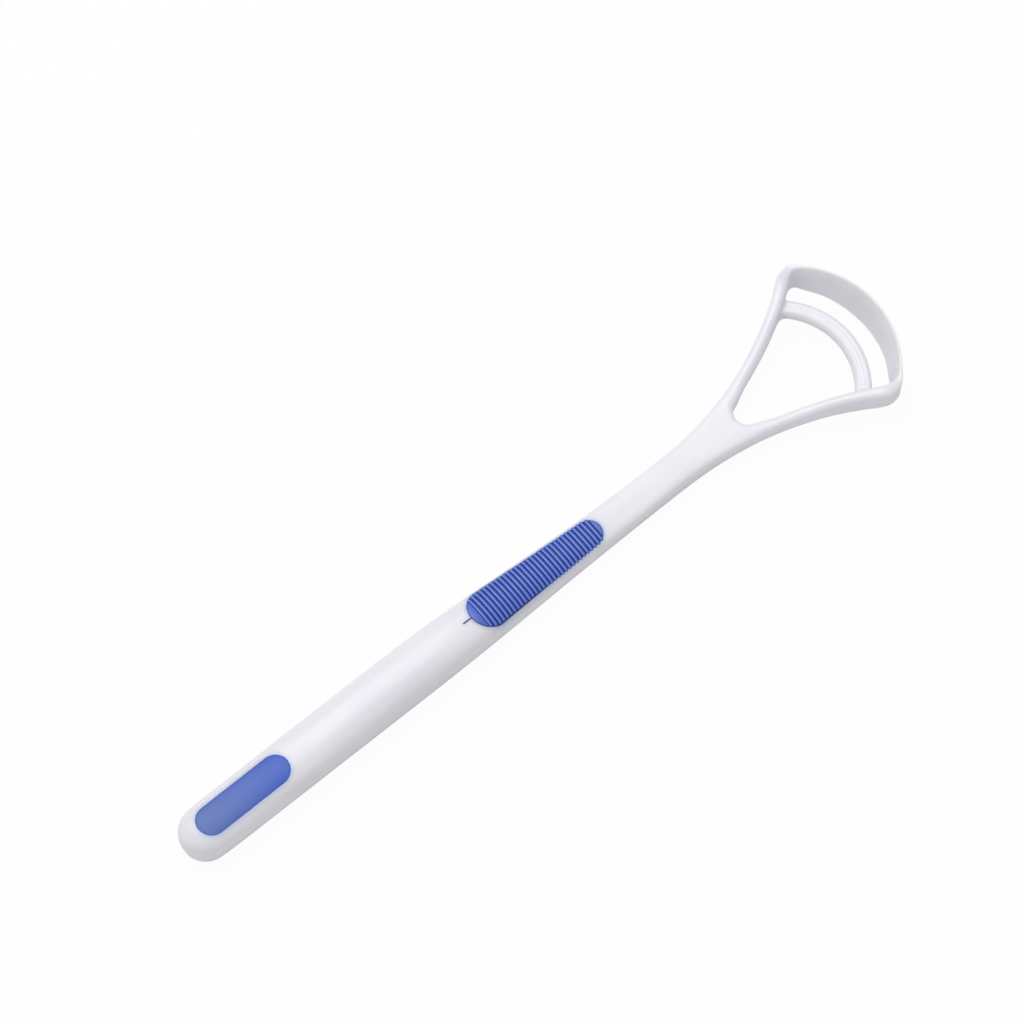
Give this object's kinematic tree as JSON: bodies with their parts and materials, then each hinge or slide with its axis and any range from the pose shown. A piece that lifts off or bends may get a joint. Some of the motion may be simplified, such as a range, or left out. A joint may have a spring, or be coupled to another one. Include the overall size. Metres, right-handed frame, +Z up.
{
  "type": "tongue scraper",
  "caption": "Tongue scraper lying flat: long rounded handle with a ribbed soft thumb grip and tail inlay, slim neck, and a forked head with a thin curved scraping band and an inner bar.",
  "frame": {"origin": "centre of the bounding box, on the plane that the tool rests on", "axes": "+X along the handle towards the head, +Y across the head, +Z up, away from the resting plane"},
  "size_m": [0.182, 0.0368, 0.0136],
  "materials": {
    "white_moulding": "smooth glossy injection-moulded polypropylene, with very fine flow marks",
    "grip_blue": "soft satin elastomer, moulded in fine cross ribs",
    "inlay_blue": "smooth satin elastomer"
  },
  "bodies": {
    "root": {"body": "white_moulding", "thumb_grip": "grip_blue", "tail_inlay": "inlay_blue"}
  },
  "joints": []
}
